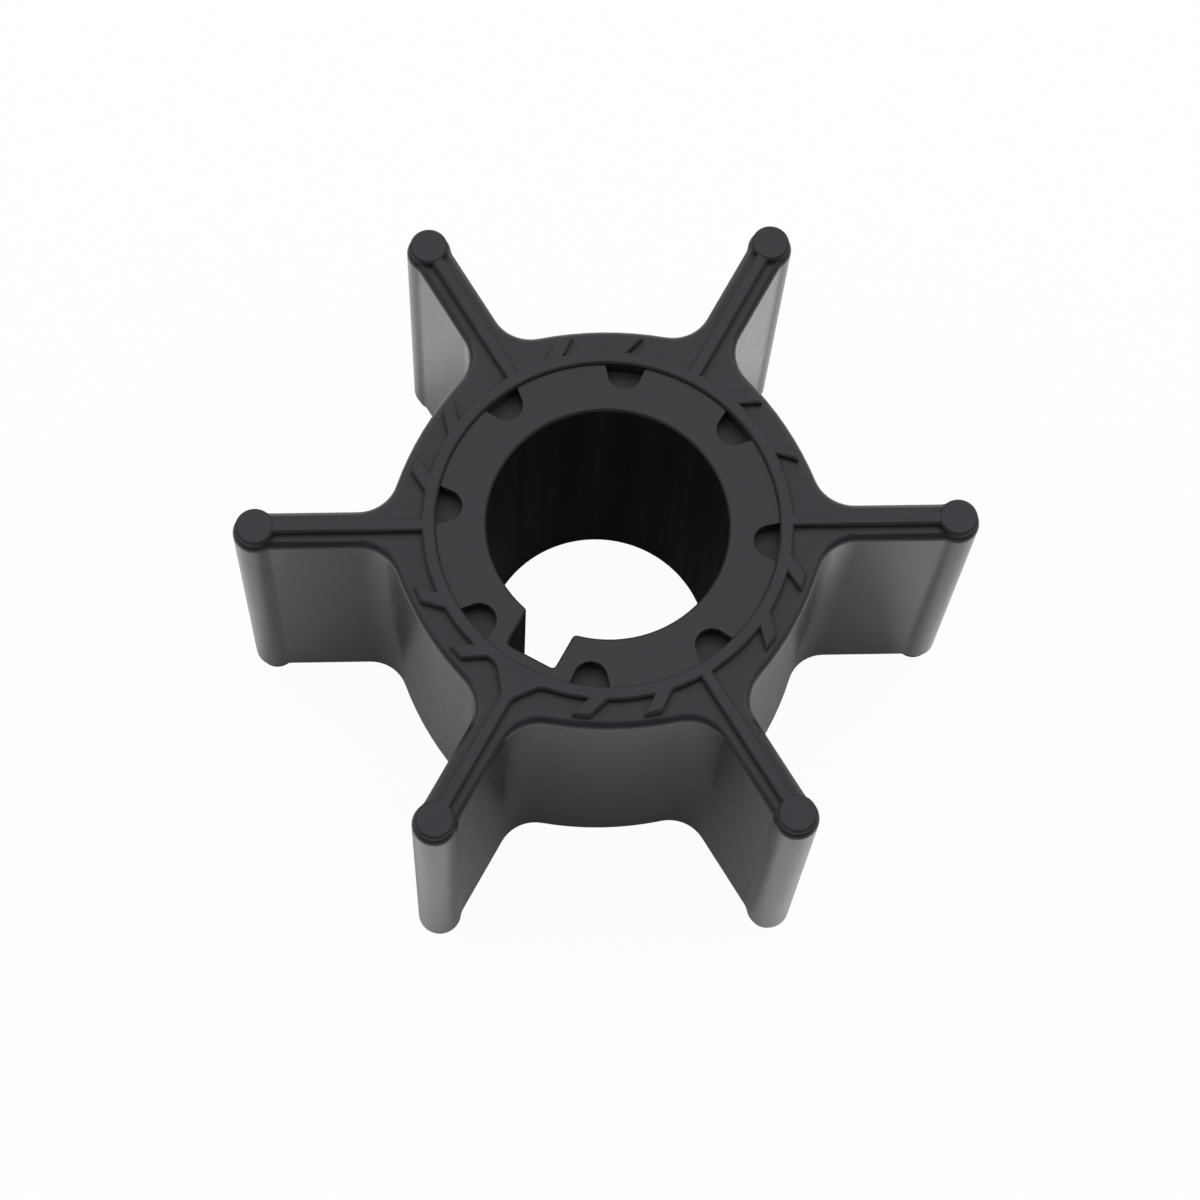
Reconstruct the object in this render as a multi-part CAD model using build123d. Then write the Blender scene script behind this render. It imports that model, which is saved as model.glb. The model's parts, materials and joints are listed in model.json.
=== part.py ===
from build123d import *
import math
import os

# Flexible-vane water pump impeller: a rubber vane ring moulded on to a fluted, keyed hub bush.
# Frame: origin on the bore axis at the level of the lowest rubber, +Z along the bore.
# Vane number 0 points along +X. All lengths in millimetres, angles in degrees.

# Vane ring, overall
overall_height = 23.0          # over the flat discs on the vane tips
vane_count = 6
tip_circle_radius = 20.7       # bore axis to the axis of a tip bulb
vane_thickness = 2.3
bulb_swell = 0.18              # how far a bulb stands out beyond each face of its vane
rubber_wall = 2.37             # rubber round the bush, midway between two vanes
hub_wall_curve = 20.0          # curve of the hub wall there, flatter than a circle about the axis
root_fillet = 2.4              # hollow where a vane leaves the hub
neck_fillet = 1.2              # hollow where a vane meets its bulb
edge_bevel = 0.33              # softened outer edges of the rubber

# Raised pattern on both end faces of the rubber
rib_height = 0.45              # above the sunken land
rib_width = 0.75               # the rib along each vane
ring_width = 0.8               # the raised ring round the bush
rib_bevel = 0.12               # softened top edges of the raised pattern
disc_ledge = 0.20              # from the edge of a tip disc to the wall of its bulb
disc_proud = 0.06              # the discs stand this far above the ribs
slant_ribs = 2                 # slanted ribs between two vanes
slant_width = 0.85             # a slanted rib is wider than a vane's rib
slant_start_angle = 14.4       # first slanted rib, clockwise from its vane at the ring
slant_pitch_angle = 20.2       # to the next one
slant_lean_angle = 43.0        # lean from the radius, clockwise going outward
slant_setback = 0.5            # the slanted ribs stop this far inside the hub wall
gusset_half_width = 1.5        # web at the keyed vane, measured at the ring's edge
gusset_reach = 1.35            # how far that web runs out along the vane
gusset_fillet = 0.9            # rounding where the web meets ring and rib

# Hub bush
bore_radius = 7.15
bush_wall = 3.0                # between bore and rubber
upper_recess = 0.25            # upper bush face below the top of the raised ring
lower_recess = 0.5             # lower bush face above the foot of the lower raised ring
key_vane_number = 4            # the keyway points at this vane
key_width = 3.1                # for a 3 mm key
key_wall = 0.75                # bush left behind the keyway
key_corner = 0.25              # rounding in the keyway's bottom corners
key_mouth_fillet = 0.3         # rounding where the keyway opens into the bore
bore_bevel = 0.15              # softened end edges of the bore and keyway
flute_count = 8
flute_radius = 1.0             # rounded bottom of each flute
flute_depth = 1.53             # into the bush's outer wall
flute_flare_angle = 18.0       # each flute side leans out from the radius
flute_floor = 1.05             # rubber in the flutes stops this far below the bush face

# Worked out from the values above
sector = 360 / vane_count
key_angle = key_vane_number * sector
bush_radius = bore_radius + bush_wall
hub_radius = bush_radius + rubber_wall
ring_radius = bush_radius + ring_width
key_reach = bush_radius - key_wall
bulb_radius = vane_thickness / 2 + bulb_swell
disc_radius = bulb_radius - disc_ledge
rib_bottom = disc_proud
rib_top = overall_height - disc_proud
land_bottom = rib_bottom + rib_height
land_top = rib_top - rib_height
bush_bottom = rib_bottom + lower_recess
bush_top = rib_top - upper_recess
filling_bottom = bush_bottom + flute_floor
filling_top = bush_top - flute_floor


def turned(shape, angle):
    """The shape turned about the bore axis."""
    return Rot(0, 0, angle) * shape


def radial_bar(start, end, width):
    """A flat bar along +X between two radii."""
    return Pos((start + end) / 2, 0) * Rectangle(end - start, width)


def corners_between(outline, inner, outer):
    """Corners of a plan outline whose distance from the bore axis lies between two radii."""
    return [v for v in outline.vertices() if inner < math.hypot(v.X, v.Y) < outer]


def prism(profile, bottom, top):
    """An upright solid of the profile between two levels."""
    return extrude(Pos(0, 0, bottom) * profile, top - bottom)


def edges_at(shape, level):
    """Edges that lie flat at one level."""
    return shape.edges().filter_by_position(Axis.Z, level, level)


def hub_outline():
    """The hub in plan: one shallow arc between each two vanes."""
    offset = hub_wall_curve - hub_radius
    outline = turned(Pos(-offset, 0) * Circle(hub_wall_curve), sector / 2)
    for i in range(1, vane_count):
        outline &= turned(Pos(-offset, 0) * Circle(hub_wall_curve), (i + 0.5) * sector)
    return outline


def rubber_outline():
    """The rubber in plan: hub, vanes and tip bulbs with the hollows between them."""
    outline = hub_outline()
    for i in range(vane_count):
        outline += turned(radial_bar(0, tip_circle_radius, vane_thickness), i * sector)
        outline += turned(Pos(tip_circle_radius, 0) * Circle(bulb_radius), i * sector)
    halfway = (hub_radius + tip_circle_radius) / 2
    outline = fillet(corners_between(outline, 0, halfway), root_fillet)
    return fillet(corners_between(outline, tip_circle_radius - bulb_radius, tip_circle_radius), neck_fillet)


def flute_profile():
    """One flute in plan: a round bottom with sides that flare out to the bush's wall."""
    centre = bush_radius - flute_depth + flute_radius
    flare = math.radians(flute_flare_angle)
    side_x = centre - flute_radius * math.sin(flare)
    side_y = flute_radius * math.cos(flare)
    mouth_x = bush_radius + flute_radius
    mouth_y = side_y + (mouth_x - side_x) * math.tan(flare)
    lower = [(side_x, -side_y), (mouth_x, -mouth_y)]
    upper = [(mouth_x, mouth_y), (side_x, side_y)]
    sides = Polygon(*lower, *upper, align=None)
    return (Pos(centre, 0) * Circle(flute_radius) + sides) & Circle(bush_radius)


def flute_profiles():
    """All flutes in plan, set evenly to both sides of the keyway."""
    pitch = 360 / flute_count
    return [turned(flute_profile(), key_angle + (i + 0.5) * pitch) for i in range(flute_count)]


def slanted_rib(angle):
    """A slanted rib in plan, from within the ring outward, that crosses the ring's edge at an angle."""
    length = 2 * (hub_radius - ring_radius) / math.cos(math.radians(slant_lean_angle))
    bar = Pos((length - ring_width) / 2, 0) * Rectangle(length + ring_width, slant_width)
    return turned(Pos(ring_radius, 0) * Rot(0, 0, -slant_lean_angle) * bar, angle)


def gusset():
    """The web between ring and rib in plan, as if the keyed vane pointed along +X."""
    ring_x = math.sqrt(ring_radius**2 - gusset_half_width**2)
    tip_x = ring_radius + gusset_reach
    lower = [(ring_x, -gusset_half_width), (tip_x, -rib_width / 2)]
    upper = [(tip_x, rib_width / 2), (ring_x, gusset_half_width)]
    return Polygon(*lower, *upper, align=None)


def keyed_rib():
    """Ring, vane rib and web of the keyed vane in plan, with soft turns between them."""
    shape = Circle(ring_radius) + radial_bar(0, tip_circle_radius, rib_width) + gusset()
    turns = corners_between(shape, ring_radius - rib_width / 2, tip_circle_radius - bulb_radius)
    return turned(fillet(turns, gusset_fillet), key_angle)


def raised_pattern():
    """Everything at rib level in plan: ring, vane ribs, slanted ribs and the keyed vane's web."""
    pattern = keyed_rib()
    for i in range(vane_count):
        if i != key_vane_number:
            pattern += turned(radial_bar(0, tip_circle_radius, rib_width), i * sector)
        for j in range(slant_ribs):
            rib = slanted_rib(i * sector - slant_start_angle - j * slant_pitch_angle)
            pattern += rib & Circle(hub_radius - slant_setback)
    return pattern - Circle(bush_radius)


def end_pattern():
    """The raised pattern of the upper end face with the tip discs, rooted in the rubber."""
    root = land_top - edge_bevel
    pattern = prism(raised_pattern(), root, rib_top)
    pattern = chamfer(edges_at(pattern, rib_top), rib_bevel)
    disc = prism(Circle(disc_radius), root, overall_height)
    disc = chamfer(edges_at(disc, overall_height), rib_bevel)
    for i in range(vane_count):
        pattern += turned(Pos(tip_circle_radius, 0) * disc, i * sector)
    return pattern


def vane_ring():
    """The rubber moulding: body, raised patterns, and the filling of the bush's flutes."""
    body = prism(rubber_outline(), land_bottom, land_top)
    body = chamfer(edges_at(body, land_bottom) + edges_at(body, land_top), edge_bevel)
    upper = end_pattern()
    lower = mirror(upper, about=Plane.XY.offset(overall_height / 2))
    body = body + upper + lower
    body -= prism(Circle(bush_radius), 0, overall_height)
    for profile in flute_profiles():
        body += prism(profile, filling_bottom, filling_top)
    return body


def keyed_bore():
    """The bore with its keyway in plan."""
    bore = Circle(bore_radius) + radial_bar(0, key_reach, key_width)
    halfway = (bore_radius + key_reach) / 2
    bore = fillet(corners_between(bore, halfway, bush_radius), key_corner)
    return turned(fillet(corners_between(bore, 0, halfway), key_mouth_fillet), key_angle)


def hub_bush():
    """The moulded bush: round bore with one keyway, and flutes that lock it in the rubber."""
    profile = Circle(bush_radius) - keyed_bore()
    for flute in flute_profiles():
        profile -= flute
    bush = prism(profile, bush_bottom, bush_top)
    faces = bush.faces().sort_by(Axis.Z)
    rims = faces[0].inner_wires()[0].edges() + faces[-1].inner_wires()[0].edges()
    return chamfer(rims, bore_bevel)


os.makedirs("parts", exist_ok=True)
export_step(hub_bush(), "parts/hub_bush.step")
export_step(vane_ring(), "parts/vane_ring.step")
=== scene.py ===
import json
import math

import bmesh
import bpy
from mathutils import Matrix, Vector

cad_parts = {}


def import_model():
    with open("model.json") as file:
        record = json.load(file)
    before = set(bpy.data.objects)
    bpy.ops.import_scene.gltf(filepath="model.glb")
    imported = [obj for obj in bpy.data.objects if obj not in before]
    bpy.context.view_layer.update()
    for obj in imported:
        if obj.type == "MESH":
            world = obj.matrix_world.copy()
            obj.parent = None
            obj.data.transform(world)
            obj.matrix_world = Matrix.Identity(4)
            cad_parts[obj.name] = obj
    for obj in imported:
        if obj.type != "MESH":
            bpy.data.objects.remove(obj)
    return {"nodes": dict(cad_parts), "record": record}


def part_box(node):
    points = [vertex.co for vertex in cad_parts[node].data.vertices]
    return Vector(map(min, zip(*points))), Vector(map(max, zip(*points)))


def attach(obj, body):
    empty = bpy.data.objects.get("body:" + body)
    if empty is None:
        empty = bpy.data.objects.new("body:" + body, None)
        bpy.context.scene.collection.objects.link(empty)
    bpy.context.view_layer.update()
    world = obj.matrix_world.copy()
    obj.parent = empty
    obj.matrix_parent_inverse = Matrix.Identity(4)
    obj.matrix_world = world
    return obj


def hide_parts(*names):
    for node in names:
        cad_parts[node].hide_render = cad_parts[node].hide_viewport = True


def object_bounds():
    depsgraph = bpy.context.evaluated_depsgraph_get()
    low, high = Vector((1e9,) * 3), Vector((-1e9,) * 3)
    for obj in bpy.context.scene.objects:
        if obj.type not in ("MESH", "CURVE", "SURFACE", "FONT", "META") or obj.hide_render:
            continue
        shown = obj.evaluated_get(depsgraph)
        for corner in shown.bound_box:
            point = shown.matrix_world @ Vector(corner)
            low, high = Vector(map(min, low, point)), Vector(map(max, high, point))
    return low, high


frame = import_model()
cad_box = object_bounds()

# Lengths are in metres and angles in degrees, unless a comment says otherwise.
MM = 0.001

# Camera, fitted to the photograph's frame of 1200 by 1200
CAMERA_AZIMUTH = -6.638
CAMERA_ELEVATION = 70.556
CAMERA_ROLL = 5.440
CAMERA_DISTANCE = 214.43 * MM
CAMERA_RIGHT = 0.25 * MM            # how far the view's centre lies off the frame's origin
CAMERA_UP = 3.01 * MM
CAMERA_LENS = 98.56                 # in millimetres, as the sensor's width is
CAMERA_SENSOR = 36.0
CAMERA_NEAR_LIMIT = 0.01
CAMERA_FAR_LIMIT = 20.0

# How the moulded edges are softened: no outer edge of the real moulding is sharp
WELD_DISTANCE = 0.002 * MM
FLAT_ANGLE = 0.5                    # faces that turn less than this against each other are joined
SHARP_ANGLE = 25.0                  # edges that turn less than this aren't rounded
BROAD_ROUND = 0.16 * MM             # both edges of the bevel round the rubber's outline
FINE_ROUND = 0.04 * MM              # edges of ribs, discs, bush and bore
ROUND_SEGMENTS = 3

# The rubber's end faces, which mirror each other, and its vanes
LAND_DEPTH = 0.51 * MM              # the sunken part, below the level of the tip discs
OUTLINE_BEVEL = 0.33 * MM
BEVEL_FEET = (0.12 * MM, 0.18 * MM)  # lower edges of the bevels on tip discs and on ribs
RAISED = (-0.01 * MM, 0.05 * MM)    # above the sunken part, where the raised pattern sets in
LEVEL_TOLERANCE = 0.01 * MM
VANE_PITCH = 60.0
DISC_SURROUNDINGS = 1.50 * MM       # from a bulb's axis; the end face narrows to nothing in there

# Places that the frame gives; its mounts are the bore, the keyway and the lower disc of a vane's tip
mounts = {mount["name"]: mount for mount in frame["record"]["mounts"]}
middle_level = (cad_box[0].z + cad_box[1].z) / 2
tip_circle_radius = mounts["lower_face"]["pos_m"][0]
bush_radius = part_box("hub_bush")[1].x
bore_radius = mounts["shaft_bore"]["dims"]["r_mm"] * MM
key_middle = Vector(mounts["keyway"]["pos_m"]).xy  # halfway from the bore's wall to the keyway's bottom
key_reach = 2 * key_middle.length - bore_radius

# Where faces of the bore and keyway are looked for
WALL_MARGIN = 0.15 * MM             # this far beyond the bore's wall and the keyway's bottom
KEY_HALF_WIDTH = 1.6 * MM           # just beyond the keyway's sides

# How far a face's normal may point up or down for the face to count as upright
UPRIGHT_FACE = 0.5
UPRIGHT_SHADE = (0.75, 0.95)        # fully a wall up to the first, and no wall from the second

# Noise: its values mostly lie in this span, and its scales are in cycles per metre
NOISE_SPAN = (0.3, 0.7)

# Rubber
RUBBER_COLOURS = ((0.0155, 0.0162, 0.0205), (0.0205, 0.0213, 0.0265))
RUBBER_SPECULAR = 0.3
RUBBER_FACE_ROUGHNESS = 0.43
RUBBER_WALL_ROUGHNESS = 0.23
MATT_FLANKS = 0.5                   # roughness added on the flanks of the raised pattern
MOTTLE = 0.015                      # roughness added or taken away from place to place
MOTTLE_SCALE = 700.0
BLOOM_SCALE = 260.0
RUBBER_GRAIN_SCALE = 9000.0
RUBBER_GRAIN_STRENGTH = 0.015
RUBBER_GRAIN_HEIGHT = 0.003 * MM

# The bush's plastic
PLASTIC_COLOURS = ((0.0165, 0.0172, 0.0215), (0.0195, 0.0203, 0.0250))
PLASTIC_SPECULAR = 0.3
PLASTIC_ROUGHNESS = (0.36, 0.41)
FLOW_SCALE = 180.0
PLASTIC_GRAIN_SCALE = 12000.0
PLASTIC_GRAIN_STRENGTH = 0.12
PLASTIC_GRAIN_HEIGHT = 0.004 * MM

# The same plastic in the bore and keyway, with marks that the mould's core drew along them; its colours
# are darker than the bush's, as painted shade in the bore's recess
BORE_STREAK_AND_PAINTED_SHADE_COLOURS = ((0.0030, 0.0032, 0.0038), (0.0075, 0.0078, 0.0090))
BORE_SPECULAR = 0.2
BORE_ROUGHNESS = (0.62, 0.50)
DRAWN_OUT = 0.02                    # how fine a pattern is along the bore, for 1 across it
STREAK_SCALE = 700.0
DRAW_MARK_SCALE = 3500.0
DRAW_MARK_STRENGTH = 0.15
DRAW_MARK_HEIGHT = 0.01 * MM

# Surroundings: the camera sees them white, and the object mirrors a white glow painted on the floor,
# which fades by distance into a painted shade round the object
SURROUNDINGS = 0.20                 # strength of the world's even light
MIRRORED_SURROUNDINGS = 0.06        # share of the white surroundings that the object mirrors
FLOOR_PAPER = (0.85, 0.85, 0.85)
FLOOR_HALF_WIDTH = 3.0
FLOOR_SEEN_WHITE = 0.965            # share of white in the floor that the camera sees
PAINTED_HALF_SHADE_WHITE = 0.065            # share of painted white that the object mirrors beyond the deepest painted shade
# centre of the painted shade that the floor's mirrored white fades into
PAINTED_SHADE_CENTRE = (-1.2 * MM, 0, 0)
PAINTED_HALF_SHADE = (12 * MM, 17 * MM)     # from the painted shade's centre, where that share sets in
PAINTED_SHADE_EDGE = (20.2 * MM, 24 * MM)   # where the full painted white sets in


def emptied_tree(owner):
    """The node tree of a new material or world, without the nodes it starts with."""
    owner.use_nodes = True
    owner.node_tree.nodes.clear()
    return owner.node_tree


def coordinates(tree, kind):
    """The object's own coordinates: Object for places, Normal for the way a face looks."""
    return tree.nodes.new("ShaderNodeTexCoord").outputs[kind]


def drawn_out_place(tree):
    """Places that change slowly along the bore, for marks drawn out along it."""
    mapping = tree.nodes.new("ShaderNodeMapping")
    mapping.inputs["Scale"].default_value = (1, 1, DRAWN_OUT)
    tree.links.new(coordinates(tree, "Object"), mapping.inputs["Vector"])
    return mapping.outputs["Vector"]


def upward_part(tree, vector):
    """The Z value of a vector."""
    split = tree.nodes.new("ShaderNodeSeparateXYZ")
    tree.links.new(vector, split.inputs["Vector"])
    return split.outputs["Z"]


def noise(tree, place, scale, detail):
    """A noise texture."""
    texture = tree.nodes.new("ShaderNodeTexNoise")
    texture.inputs["Scale"].default_value = scale
    texture.inputs["Detail"].default_value = detail
    tree.links.new(place, texture.inputs["Vector"])
    return texture.outputs["Fac"]


def ranged(tree, value, low, high, start, end):
    """Maps a value from start..end to low..high, and no further."""
    ranger = tree.nodes.new("ShaderNodeMapRange")
    ranger.inputs["From Min"].default_value = start
    ranger.inputs["From Max"].default_value = end
    ranger.inputs["To Min"].default_value = low
    ranger.inputs["To Max"].default_value = high
    tree.links.new(value, ranger.inputs["Value"])
    return ranger.outputs["Result"]


def calculated(tree, operation, *values):
    """The result of one calculation; each value is a node's output or a plain number."""
    node = tree.nodes.new("ShaderNodeMath")
    node.operation = operation
    for entry, value in zip(node.inputs, values):
        if isinstance(value, float):
            entry.default_value = value
        else:
            tree.links.new(value, entry)
    return node.outputs["Value"]


def mixed(tree, share, first, second):
    """A mix of two shaders, with the share for the second."""
    mix = tree.nodes.new("ShaderNodeMixShader")
    tree.links.new(share, mix.inputs["Fac"])
    tree.links.new(first, mix.inputs[1])
    tree.links.new(second, mix.inputs[2])
    return mix.outputs["Shader"]


def facing_aside(tree):
    """1 on upright walls and 0 on faces that look straight up or down."""
    up = calculated(tree, "ABSOLUTE", upward_part(tree, coordinates(tree, "Normal")))
    return ranged(tree, up, 1.0, 0.0, *UPRIGHT_SHADE)


def raised_pattern(tree):
    """1 on the ribs, rings and discs that stand above the end faces, and 0 below them."""
    height = upward_part(tree, coordinates(tree, "Object"))
    away = calculated(tree, "ABSOLUTE", calculated(tree, "SUBTRACT", height, middle_level))
    start, full = (middle_level - LAND_DEPTH + above for above in RAISED)
    return ranged(tree, away, 0.0, 1.0, start, full)


def new_finish(name, specular):
    """A new material with one shader; returns the material, its tree and the shader."""
    material = bpy.data.materials.new(name)
    tree = emptied_tree(material)
    output = tree.nodes.new("ShaderNodeOutputMaterial")
    shader = tree.nodes.new("ShaderNodeBsdfPrincipled")
    shader.inputs["Specular IOR Level"].default_value = specular
    tree.links.new(shader.outputs["BSDF"], output.inputs["Surface"])
    return material, tree, shader


def colour(tree, shader, pattern, dark, light):
    """Colours a shader between two shades, by a pattern."""
    mix = tree.nodes.new("ShaderNodeMix")
    mix.data_type = "RGBA"
    mix.inputs["A"].default_value = (*dark, 1.0)
    mix.inputs["B"].default_value = (*light, 1.0)
    tree.links.new(pattern, mix.inputs["Factor"])
    tree.links.new(mix.outputs["Result"], shader.inputs["Base Color"])


def relief(tree, shader, pattern, strength, height):
    """Gives a shader a fine relief from a pattern."""
    bump = tree.nodes.new("ShaderNodeBump")
    bump.inputs["Strength"].default_value = strength
    bump.inputs["Distance"].default_value = height
    tree.links.new(pattern, bump.inputs["Height"])
    tree.links.new(bump.outputs["Normal"], shader.inputs["Normal"])


def rubber():
    """Moulded black rubber: satin, with a fine grain and a faint bloom."""
    material, tree, shader = new_finish("moulded_rubber", RUBBER_SPECULAR)
    place = coordinates(tree, "Object")
    colour(tree, shader, noise(tree, place, BLOOM_SCALE, detail=4.0), *RUBBER_COLOURS)
    walls = facing_aside(tree)
    flanks = calculated(tree, "MULTIPLY", walls, raised_pattern(tree))
    smooth = ranged(tree, walls, RUBBER_FACE_ROUGHNESS, RUBBER_WALL_ROUGHNESS, 0.0, 1.0)
    mottle = ranged(tree, noise(tree, place, MOTTLE_SCALE, detail=2.0), -MOTTLE, MOTTLE, *NOISE_SPAN)
    mottled = calculated(tree, "ADD", smooth, mottle)
    rough = calculated(tree, "ADD", mottled, calculated(tree, "MULTIPLY", flanks, MATT_FLANKS))
    tree.links.new(rough, shader.inputs["Roughness"])
    fine = noise(tree, place, RUBBER_GRAIN_SCALE, detail=2.0)
    relief(tree, shader, fine, RUBBER_GRAIN_STRENGTH, RUBBER_GRAIN_HEIGHT)
    return material


def plastic():
    """The bush's moulded plastic, smoother than the rubber."""
    material, tree, shader = new_finish("bush_plastic_finish", PLASTIC_SPECULAR)
    place = coordinates(tree, "Object")
    flow = noise(tree, place, FLOW_SCALE, detail=3.0)
    colour(tree, shader, flow, *PLASTIC_COLOURS)
    tree.links.new(ranged(tree, flow, *PLASTIC_ROUGHNESS, *NOISE_SPAN), shader.inputs["Roughness"])
    fine = noise(tree, place, PLASTIC_GRAIN_SCALE, detail=1.0)
    relief(tree, shader, fine, PLASTIC_GRAIN_STRENGTH, PLASTIC_GRAIN_HEIGHT)
    return material


def bore_plastic_with_painted_shade():
    """The bush's plastic in the bore and keyway: duller, with draw marks along the core's travel, and
    colours darkened as painted shade in the bore's recess.
    """
    material, tree, shader = new_finish("bore_plastic_painted_shade", BORE_SPECULAR)
    place = drawn_out_place(tree)
    streaks = noise(tree, place, STREAK_SCALE, detail=3.0)
    # painted shade: the dark colours stand in for the shade inside the bore; the streaks between them are
    # draw marks
    colour(tree, shader, streaks, *BORE_STREAK_AND_PAINTED_SHADE_COLOURS)
    tree.links.new(ranged(tree, streaks, *BORE_ROUGHNESS, *NOISE_SPAN), shader.inputs["Roughness"])
    marks = noise(tree, place, DRAW_MARK_SCALE, detail=3.0)
    relief(tree, shader, marks, DRAW_MARK_STRENGTH, DRAW_MARK_HEIGHT)
    return material


def lies_at(edge, levels):
    """True for an edge that lies flat at one of the levels."""
    return any(all(abs(v.co.z - level) < LEVEL_TOLERANCE for v in edge.verts) for level in levels)


def is_by_disc(edge):
    """True for an edge that reaches into the surroundings of a tip disc."""
    pitch = math.radians(VANE_PITCH)
    for vertex in edge.verts:
        angle = round(math.atan2(vertex.co.y, vertex.co.x) / pitch) * pitch
        axis = Vector((math.cos(angle), math.sin(angle))) * tip_circle_radius
        if (vertex.co.xy - axis).length < DISC_SURROUNDINGS:
            return True
    return False


def is_in_flute(edge):
    """True for an edge of the rubber that fills the bush's flutes."""
    return all(v.co.xy.length < bush_radius + LEVEL_TOLERANCE for v in edge.verts)


def round_share(edge, node, low, high):
    """The share of the broad rounding that an edge gets: none in hollow corners."""
    if edge.calc_face_angle(0.0) < math.radians(SHARP_ANGLE) or not edge.is_convex:
        return 0.0
    if node == "vane_ring":
        lands = (low + LAND_DEPTH, high - LAND_DEPTH)
        walls = (lands[0] + OUTLINE_BEVEL, lands[1] - OUTLINE_BEVEL)
        feet = [low + depth for depth in BEVEL_FEET] + [high - depth for depth in BEVEL_FEET]
        if is_in_flute(edge) or lies_at(edge, feet) or (lies_at(edge, lands) and is_by_disc(edge)):
            return 0.0
        if lies_at(edge, lands + walls):
            return 1.0
    return FINE_ROUND / BROAD_ROUND


def prepared_mesh(node):
    """A copy of a node's mesh, welded, with each edge's share of the broad rounding."""
    mesh = frame["nodes"][node].data.copy()
    low, high = (corner.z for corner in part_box(node))
    bm = bmesh.new()
    bm.from_mesh(mesh)
    bmesh.ops.remove_doubles(bm, verts=bm.verts, dist=WELD_DISTANCE)
    bmesh.ops.dissolve_limit(bm, angle_limit=math.radians(FLAT_ANGLE), verts=bm.verts, edges=bm.edges)
    for face in bm.faces:
        face.smooth = True
    shares = bm.edges.layers.float.new("bevel_weight_edge")
    for edge in bm.edges:
        edge[shares] = round_share(edge, node, low, high)
        if edge[shares] == 0.0 and edge.calc_face_angle(0.0) > math.radians(SHARP_ANGLE):
            edge.smooth = False
    bm.to_mesh(mesh)
    bm.free()
    return mesh


def softened(node, name):
    """A piece with its outer edges rounded, in place of the node."""
    piece = bpy.data.objects.new(name, prepared_mesh(node))
    bpy.context.scene.collection.objects.link(piece)
    bevel = piece.modifiers.new("soft_edges", "BEVEL")
    bevel.limit_method = "WEIGHT"
    bevel.width = BROAD_ROUND
    bevel.segments = ROUND_SEGMENTS
    bevel.use_clamp_overlap = False
    shading = piece.modifiers.new("even_shading", "WEIGHTED_NORMAL")
    shading.keep_sharp = True
    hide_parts(node)
    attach(piece, "root")
    return piece


def dress(piece, slot, *materials):
    """Gives a piece its materials."""
    piece.data.materials.clear()
    for material in materials:
        piece.data.materials.append(material)


def is_in_bore(face):
    """True for an upright face of the bore or its keyway."""
    if abs(face.normal.z) > UPRIGHT_FACE:
        return False
    centre = face.center.xy
    outward = key_middle.normalized()
    along = centre.dot(outward)
    aside = abs(centre.x * outward.y - centre.y * outward.x)
    in_keyway = 0 < along < key_reach + WALL_MARGIN and aside < KEY_HALF_WIDTH
    return in_keyway or centre.length < bore_radius + WALL_MARGIN


def direction(azimuth, elevation):
    """The way from the object to a camera or lamp; azimuth 0 is in front and 180 behind."""
    turn = math.radians(azimuth)
    rise = math.radians(elevation)
    level = math.cos(rise)
    return Vector((math.sin(turn) * level, -math.cos(turn) * level, math.sin(rise)))


def camera():
    """The camera at the photograph's place."""
    turn = math.radians(CAMERA_AZIMUTH)
    roll = math.radians(CAMERA_ROLL)
    back = direction(CAMERA_AZIMUTH, CAMERA_ELEVATION)
    level_right = Vector((math.cos(turn), math.sin(turn), 0))
    level_up = back.cross(level_right)
    right = math.cos(roll) * level_right + math.sin(roll) * level_up
    up = math.cos(roll) * level_up - math.sin(roll) * level_right
    place = back * CAMERA_DISTANCE + right * CAMERA_RIGHT + up * CAMERA_UP
    data = bpy.data.cameras.new("camera")
    data.lens = CAMERA_LENS
    data.sensor_width = CAMERA_SENSOR
    data.clip_start = CAMERA_NEAR_LIMIT
    data.clip_end = CAMERA_FAR_LIMIT
    view = bpy.data.objects.new("camera", data)
    bpy.context.scene.collection.objects.link(view)
    view.matrix_world = Matrix.Translation(place) @ Matrix((right, up, back)).transposed().to_4x4()
    bpy.context.scene.camera = view


def softbox(name, azimuth, elevation, distance, width, height, radiance):
    """A rectangular lamp that faces the object and that the camera doesn't see."""
    data = bpy.data.lights.new(name, "AREA")
    data.shape = "RECTANGLE"
    data.size = width
    data.size_y = height
    data.energy = radiance * math.pi * width * height
    lamp = bpy.data.objects.new(name, data)
    bpy.context.scene.collection.objects.link(lamp)
    away = direction(azimuth, elevation)
    lamp.location = away * distance
    lamp.rotation_euler = away.to_track_quat("Z", "Y").to_euler()
    lamp.visible_camera = False


def mirrored_ray(tree, path):
    """1 for rays that come off a gloss or through glass, and 0 for others."""
    return calculated(tree, "MAXIMUM", path.outputs["Is Glossy Ray"], path.outputs["Is Transmission Ray"])


def even_light(tree, strength):
    """White surroundings of a strength."""
    background = tree.nodes.new("ShaderNodeBackground")
    background.inputs["Color"].default_value = (1, 1, 1, 1)
    background.inputs["Strength"].default_value = strength
    return background.outputs["Background"]


def world():
    """Dim even surroundings that the camera sees as white."""
    surroundings = bpy.data.worlds.new("surroundings")
    bpy.context.scene.world = surroundings
    tree = emptied_tree(surroundings)
    output = tree.nodes.new("ShaderNodeOutputWorld")
    path = tree.nodes.new("ShaderNodeLightPath")
    mirrored = calculated(tree, "MULTIPLY", mirrored_ray(tree, path), MIRRORED_SURROUNDINGS)
    share = calculated(tree, "MAXIMUM", path.outputs["Is Camera Ray"], mirrored)
    shader = mixed(tree, share, even_light(tree, SURROUNDINGS), even_light(tree, 1.0))
    tree.links.new(shader, output.inputs["Surface"])


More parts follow.
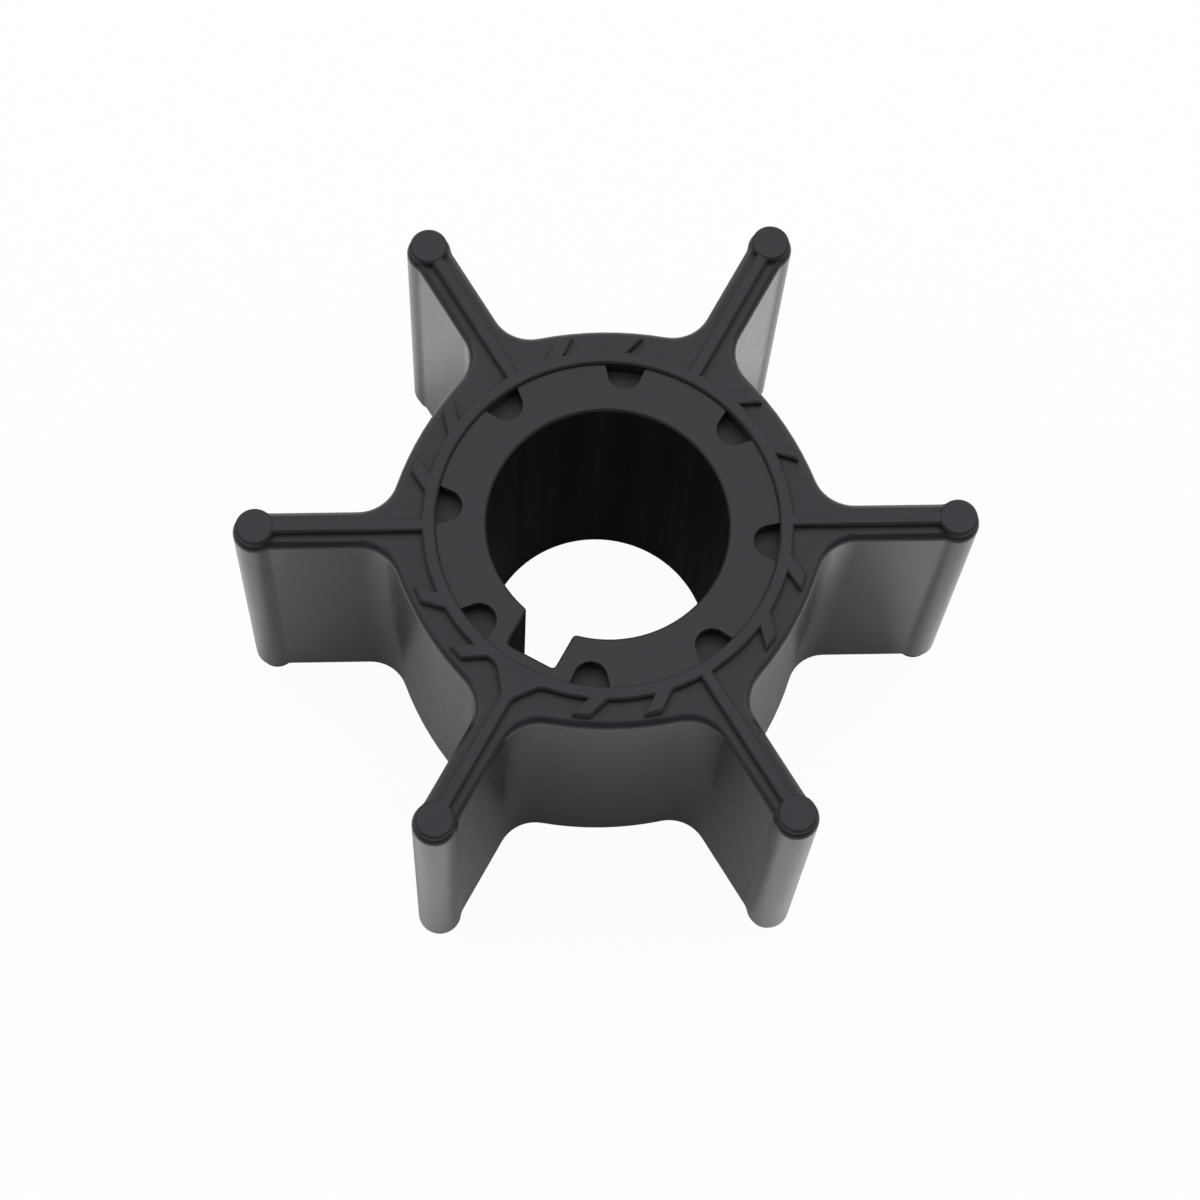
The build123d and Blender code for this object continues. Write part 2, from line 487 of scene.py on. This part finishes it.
def out_of_painted_shade(tree, position):
    """How white the object mirrors the floor, a painted reflection: 0 in the painted shade round the
    object, and 1 clear of it.
    """
    reach = tree.nodes.new("ShaderNodeVectorMath")
    reach.operation = "DISTANCE"
    reach.inputs[1].default_value = PAINTED_SHADE_CENTRE
    tree.links.new(position, reach.inputs[0])
    half_shade = ranged(tree, reach.outputs["Value"], 0.0, PAINTED_HALF_SHADE_WHITE, *PAINTED_HALF_SHADE)
    open_floor = ranged(tree, reach.outputs["Value"], 0.0, 1.0, *PAINTED_SHADE_EDGE)
    return calculated(tree, "MAXIMUM", half_shade, open_floor)


def floor_finish():
    """Pale paper that keeps the object's shadow and is near white to the camera, with a white glow in
    reflections that fades into a painted shade round the object; clear from below.
    """
    material = bpy.data.materials.new("pale_floor")
    tree = emptied_tree(material)
    output = tree.nodes.new("ShaderNodeOutputMaterial")
    path = tree.nodes.new("ShaderNodeLightPath")
    geometry = tree.nodes.new("ShaderNodeNewGeometry")
    paper = tree.nodes.new("ShaderNodeBsdfDiffuse")
    paper.inputs["Color"].default_value = (*FLOOR_PAPER, 1)
    white = tree.nodes.new("ShaderNodeEmission")
    white.inputs["Strength"].default_value = 1.0
    clear = tree.nodes.new("ShaderNodeBsdfTransparent")
    seen = calculated(tree, "MULTIPLY", path.outputs["Is Camera Ray"], FLOOR_SEEN_WHITE)
    open_floor = out_of_painted_shade(tree, geometry.outputs["Position"])
    # painted reflection and shade: white emission by distance, seen only in reflections
    mirrored = calculated(tree, "MULTIPLY", mirrored_ray(tree, path), open_floor)
    share = calculated(tree, "MAXIMUM", seen, mirrored)
    upper_side = mixed(tree, share, paper.outputs["BSDF"], white.outputs["Emission"])
    shader = mixed(tree, geometry.outputs["Backfacing"], upper_side, clear.outputs["BSDF"])
    tree.links.new(shader, output.inputs["Surface"])
    return material


def floor():
    """A floor at the level of the lowest rubber."""
    half = FLOOR_HALF_WIDTH
    mesh = bpy.data.meshes.new("floor")
    corners = [(-half, -half, 0), (half, -half, 0), (half, half, 0), (-half, half, 0)]
    mesh.from_pydata(corners, [], [(0, 1, 2, 3)])
    mesh.materials.append(floor_finish())
    sheet = bpy.data.objects.new("floor", mesh)
    bpy.context.scene.collection.objects.link(sheet)


moulding = softened("vane_ring", "rubber_moulding")
dress(moulding, "rubber", rubber())
bush = softened("hub_bush", "bush_moulding")
dress(bush, "bush_plastic", plastic(), bore_plastic_with_painted_shade())
# the bore's and keyway's faces take the plastic whose colour paints the bore's shade
for face in bush.data.polygons:
    face.material_index = int(is_in_bore(face))

camera()
world()
floor()
softbox("top_light", azimuth=180, elevation=68, distance=1.0, width=2.2, height=1.6, radiance=1.15)
softbox("left_light", azimuth=-105, elevation=35, distance=0.9, width=1.2, height=0.8, radiance=0.8)
softbox("right_light", azimuth=105, elevation=35, distance=0.9, width=1.2, height=0.8, radiance=0.8)
softbox("low_back_light", azimuth=180, elevation=9, distance=0.9, width=1.6, height=0.25, radiance=1.2)

bpy.context.scene.view_settings.view_transform = "Standard"
